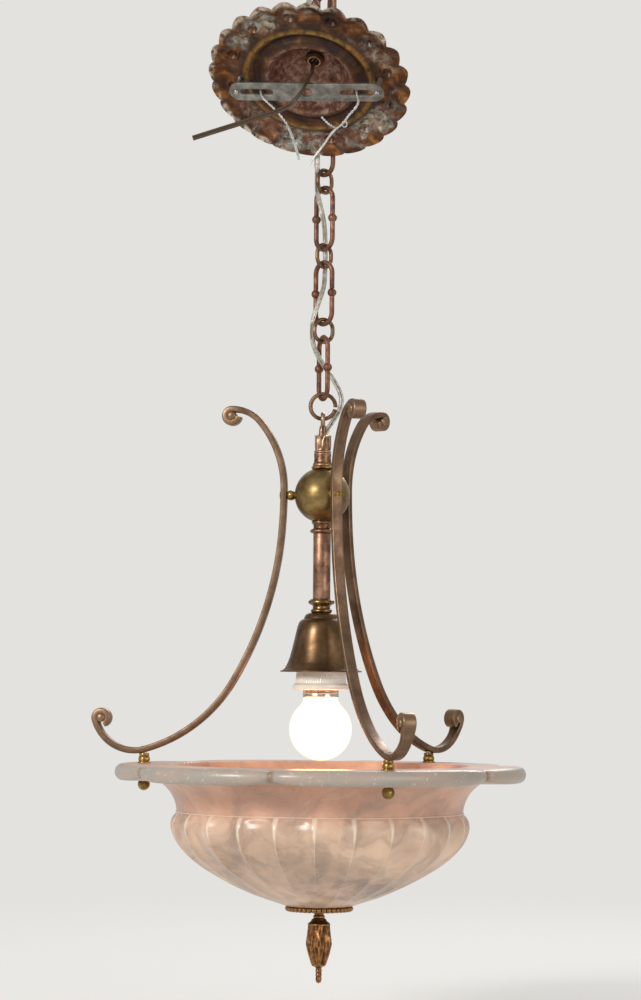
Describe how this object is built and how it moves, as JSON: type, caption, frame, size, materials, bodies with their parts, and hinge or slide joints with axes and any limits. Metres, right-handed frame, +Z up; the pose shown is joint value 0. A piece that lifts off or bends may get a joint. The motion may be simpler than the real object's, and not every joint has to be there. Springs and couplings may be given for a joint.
{
  "type": "bowl pendant light",
  "caption": "Fluted alabaster bowl on scrolled arms below a ball and stem, hung by a knopped chain with its canopy.",
  "frame": {"origin": "where a ceiling hook carries the top link of the chain", "axes": "+Z up along the chain, -Y to the front, +X to the right seen from the front"},
  "size_m": [0.3145, 0.3045, 0.7425],
  "materials": {
    "aged_copper": "oxidised copper plate",
    "dark_bronze": "brown bronze, satin",
    "satin_brass": "satin",
    "cast_finial_brass": "cast, antiqued",
    "canopy_brass": "stamped, patinated",
    "galvanised_steel": "galvanised",
    "tinned_wire": "tinned strands",
    "alabaster": "polished alabaster",
    "porcelain": "white glaze",
    "frosted_glass": "frosted",
    "grey_cord_pvc": "flat twin cord",
    "brown_lead_pvc": "flat twin cord"
  },
  "bodies": {
    "hook_link": {"top_link": "aged_copper", "chain_cord": "grey_cord_pvc"},
    "small_1": {"small_link_1": "aged_copper"},
    "long_1": {"long_link_1": "aged_copper"},
    "small_2": {"small_link_2": "aged_copper"},
    "long_2": {"long_link_2": "aged_copper"},
    "small_3": {"small_link_3": "aged_copper"},
    "long_3": {"long_link_3": "aged_copper"},
    "small_4": {"small_link_4": "aged_copper"},
    "long_4": {"long_link_4": "aged_copper"},
    "small_5": {"small_link_5": "aged_copper"},
    "long_5": {"long_link_5": "aged_copper"},
    "ring": {"stem_ring": "aged_copper"},
    "fixture": {"hanger": "dark_bronze", "upper_coupling": "dark_bronze", "ball_seat_ring": "satin_brass", "arm_ball": "satin_brass", "lower_collar": "dark_bronze", "stem_tube": "dark_bronze", "stem_rod": "galvanised_steel", "inner_leads": "brown_lead_pvc", "bell_coupling": "dark_bronze", "socket_bell": "dark_bronze", "bell_locknut": "galvanised_steel", "porcelain_socket": "porcelain", "socket_nut": "galvanised_steel", "socket_shell": "satin_brass", "socket_contact": "satin_brass", "arm_left": "dark_bronze", "arm_back": "dark_bronze", "arm_front": "dark_bronze", "ball_screws": "satin_brass", "ball_spacers": "satin_brass", "rim_spacers": "satin_brass", "rim_washers": "satin_brass", "ball_nuts": "satin_brass", "rim_studs": "satin_brass", "alabaster_bowl": "alabaster", "bottom_rosette": "cast_finial_brass", "finial": "cast_finial_brass", "finial_rod": "galvanised_steel", "inner_washer": "galvanised_steel", "inner_nut": "galvanised_steel"},
    "lamp": {"lamp_cap": "satin_brass", "lamp_globe": "frosted_glass", "lamp_stem": "frosted_glass", "lamp_filament": "tinned_wire"},
    "canopy_small_1": {"canopy_small_link_1": "aged_copper"},
    "canopy_long": {"canopy_long_link": "aged_copper"},
    "canopy_small_2": {"canopy_small_link_2": "aged_copper"},
    "canopy": {"canopy": "canopy_brass", "canopy_loop": "canopy_brass", "canopy_nipple": "canopy_brass", "canopy_locknut": "satin_brass", "crossbar": "galvanised_steel", "crossbar_screws": "galvanised_steel", "canopy_lead": "brown_lead_pvc", "tie_wire_left": "tinned_wire", "tie_wire_right": "tinned_wire"}
  },
  "joints": [
    {"name": "small_1_swing", "type": "hinge", "parent": "hook_link", "child": "small_1", "pos_m": [0, 0, -0.04325], "axis": [0.7071, -0.7071, 0], "range_deg": [0, 12], "deforming": ["chain_cord"]},
    {"name": "long_1_swing", "type": "hinge", "parent": "small_1", "child": "long_1", "pos_m": [0, 0, -0.05625], "axis": [0.7071, 0.7071, 0], "range_deg": [0, 12], "deforming": ["chain_cord"]},
    {"name": "small_2_swing", "type": "hinge", "parent": "long_1", "child": "small_2", "pos_m": [0, 0, -0.09775], "axis": [0.7071, -0.7071, 0], "range_deg": [0, 12], "deforming": ["chain_cord"]},
    {"name": "long_2_swing", "type": "hinge", "parent": "small_2", "child": "long_2", "pos_m": [0, 0, -0.11075], "axis": [0.7071, 0.7071, 0], "range_deg": [0, 12], "deforming": ["chain_cord"]},
    {"name": "small_3_swing", "type": "hinge", "parent": "long_2", "child": "small_3", "pos_m": [0, 0, -0.15225], "axis": [0.7071, -0.7071, 0], "range_deg": [-12, 12], "deforming": ["chain_cord"]},
    {"name": "long_3_swing", "type": "hinge", "parent": "small_3", "child": "long_3", "pos_m": [0, 0, -0.16525], "axis": [0.7071, 0.7071, 0], "range_deg": [-12, 12], "deforming": ["chain_cord"]},
    {"name": "small_4_swing", "type": "hinge", "parent": "long_3", "child": "small_4", "pos_m": [0, 0, -0.20675], "axis": [0.7071, -0.7071, 0], "range_deg": [-12, 12], "deforming": ["chain_cord"]},
    {"name": "long_4_swing", "type": "hinge", "parent": "small_4", "child": "long_4", "pos_m": [0, 0, -0.21975], "axis": [0.7071, 0.7071, 0], "range_deg": [-12, 12], "deforming": ["chain_cord"]},
    {"name": "small_5_swing", "type": "hinge", "parent": "long_4", "child": "small_5", "pos_m": [0, 0, -0.26125], "axis": [0.7071, -0.7071, 0], "range_deg": [-12, 12], "deforming": ["chain_cord"]},
    {"name": "long_5_swing", "type": "hinge", "parent": "small_5", "child": "long_5", "pos_m": [0, 0, -0.27425], "axis": [0.9272, 0.3746, 0], "range_deg": [-12, 12], "deforming": ["chain_cord"]},
    {"name": "ring_swing", "type": "hinge", "parent": "long_5", "child": "ring", "pos_m": [0, 0, -0.31575], "axis": [0.3746, -0.9272, 0], "range_deg": [-12, 12], "deforming": ["chain_cord"]},
    {"name": "fixture_swing", "type": "hinge", "parent": "ring", "child": "fixture", "pos_m": [0, 0, -0.3302], "axis": [1, 0, 0], "range_deg": [-12, 12], "deforming": ["chain_cord"]},
    {"name": "lamp_turn", "type": "hinge", "parent": "fixture", "child": "lamp", "pos_m": [0, 0, -0.52], "axis": [0, 0, 1], "continuous": true},
    {"name": "canopy_small_1_swing", "type": "hinge", "parent": "hook_link", "child": "canopy_small_1", "pos_m": [-0.00196, 0.00196, 0.00127], "axis": [-0.6661, 0.6661, -0.3355], "range_deg": [0, 25], "deforming": ["chain_cord"]},
    {"name": "canopy_long_swing", "type": "hinge", "parent": "canopy_small_1", "child": "canopy_long", "pos_m": [-0.00225, -0.00488, -0.00978], "axis": [-0.7437, -0.5597, 0.3655], "range_deg": [0, 20], "deforming": ["chain_cord"]},
    {"name": "canopy_small_2_swing", "type": "hinge", "parent": "canopy_long", "child": "canopy_small_2", "pos_m": [-0.00318, -0.02669, -0.04508], "axis": [-0.6681, 0.6407, -0.3784], "range_deg": [0, 20], "deforming": ["chain_cord"]},
    {"name": "canopy_swing", "type": "hinge", "parent": "canopy_small_2", "child": "canopy", "pos_m": [-0.00347, -0.03352, -0.05613], "axis": [-0.7437, -0.5597, 0.3655], "range_deg": [0, 20], "deforming": ["chain_cord"]}
  ]
}
